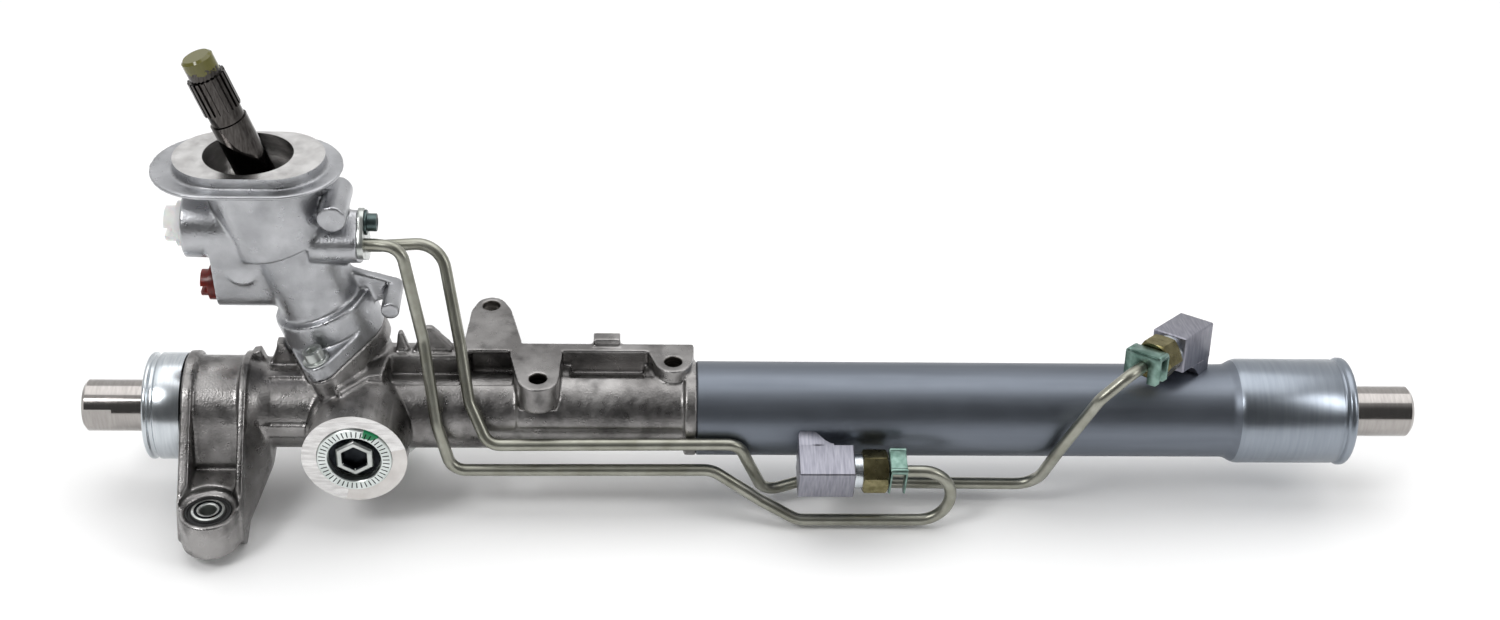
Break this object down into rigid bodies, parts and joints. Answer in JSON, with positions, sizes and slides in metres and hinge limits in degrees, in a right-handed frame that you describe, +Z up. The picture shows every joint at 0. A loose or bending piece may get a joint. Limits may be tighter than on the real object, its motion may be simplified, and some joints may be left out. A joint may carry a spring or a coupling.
{
  "type": "power steering rack",
  "caption": "Hydraulic rack-and-pinion steering gear: cast housing with clamp bracket and mounting plate, steel cylinder tube, sliding rack bar, leaning valve tower, two rigid pipes.",
  "frame": {"origin": "where the yoke's axis crosses the rack bar's axis", "axes": "+X along the rack bar towards the cylinder tube, +Z up, -Y towards the yoke's adjuster"},
  "size_m": [0.6746, 0.1308, 0.2374],
  "materials": {
    "cast_aluminium": "as cast",
    "bright_cast_aluminium": "shot blasted",
    "zinc_steel": "zinc plated",
    "black_rubber": "matt",
    "seal_rubber": "matt",
    "ground_steel": "bright",
    "tube_steel": "drawn, satin",
    "brushed_steel": "milled",
    "olive_zinc_steel": "olive chromate",
    "coated_pipe_steel": "grey-green coating",
    "white_plastic": "matt",
    "red_plastic": "matt",
    "seal_plastic": "matt",
    "spring_steel": "oiled",
    "bearing_steel": "ground",
    "chromed_steel": "ground and chromed",
    "polished_steel": "ground"
  },
  "bodies": {
    "housing": {"rack_housing": "cast_aluminium", "valve_housing": "bright_cast_aluminium", "housing_screws": "zinc_steel", "bracket_bush": "black_rubber", "bracket_sleeve": "zinc_steel", "left_boot_seat": "ground_steel", "cylinder_tube": "tube_steel", "inner_rack_seal": "seal_rubber", "inner_seal_washer": "seal_plastic", "end_bush": "cast_aluminium", "outer_rack_seal": "seal_rubber", "lower_port_block": "brushed_steel", "lower_union_nut": "olive_zinc_steel", "lower_pipe_clip": "zinc_steel", "upper_port_block": "brushed_steel", "upper_union_nut": "olive_zinc_steel", "upper_pipe_clip": "zinc_steel", "front_pipe": "coated_pipe_steel", "rear_pipe": "coated_pipe_steel", "pipe_seals": "seal_rubber", "pipe_clamp": "zinc_steel", "pipe_clamp_screw": "zinc_steel", "white_cap": "white_plastic", "red_cap": "red_plastic", "yoke": "cast_aluminium", "yoke_liner": "seal_plastic", "yoke_o_ring": "seal_rubber", "yoke_spring": "spring_steel", "adjuster_plug": "zinc_steel", "lock_ring": "zinc_steel", "lower_bearing": "bearing_steel", "upper_bearing": "bearing_steel", "lower_cap": "zinc_steel", "input_seal": "seal_rubber", "input_bearing": "bearing_steel"},
    "rack": {"rack_bar": "chromed_steel", "piston": "bearing_steel", "piston_ring": "seal_plastic", "piston_clips": "spring_steel"},
    "pinion": {"pinion_shaft": "bearing_steel", "valve_sleeve": "bearing_steel", "sleeve_rings": "seal_plastic", "torsion_bar": "spring_steel"},
    "input": {"input_shaft": "polished_steel"}
  },
  "joints": [
    {"name": "rack_slide", "type": "slide", "parent": "housing", "child": "rack", "axis": [1, 0, 0], "range_m": [-0.072, 0.072]},
    {"name": "pinion_spin", "type": "hinge", "parent": "housing", "child": "pinion", "pos_m": [0, 0.0159, 0], "axis": [-0.3322, 0, 0.9432], "range_deg": [-513, 513]},
    {"name": "input_twist", "type": "hinge", "parent": "pinion", "child": "input", "pos_m": [0, 0.0159, 0], "axis": [-0.3322, 0, 0.9432], "range_deg": [-4, 4], "stiffness_Nm_per_rad": 60}
  ],
  "couplings": [
    {"joint": "pinion_spin", "follows": "rack_slide", "rad_per_m": 124.11}
  ]
}
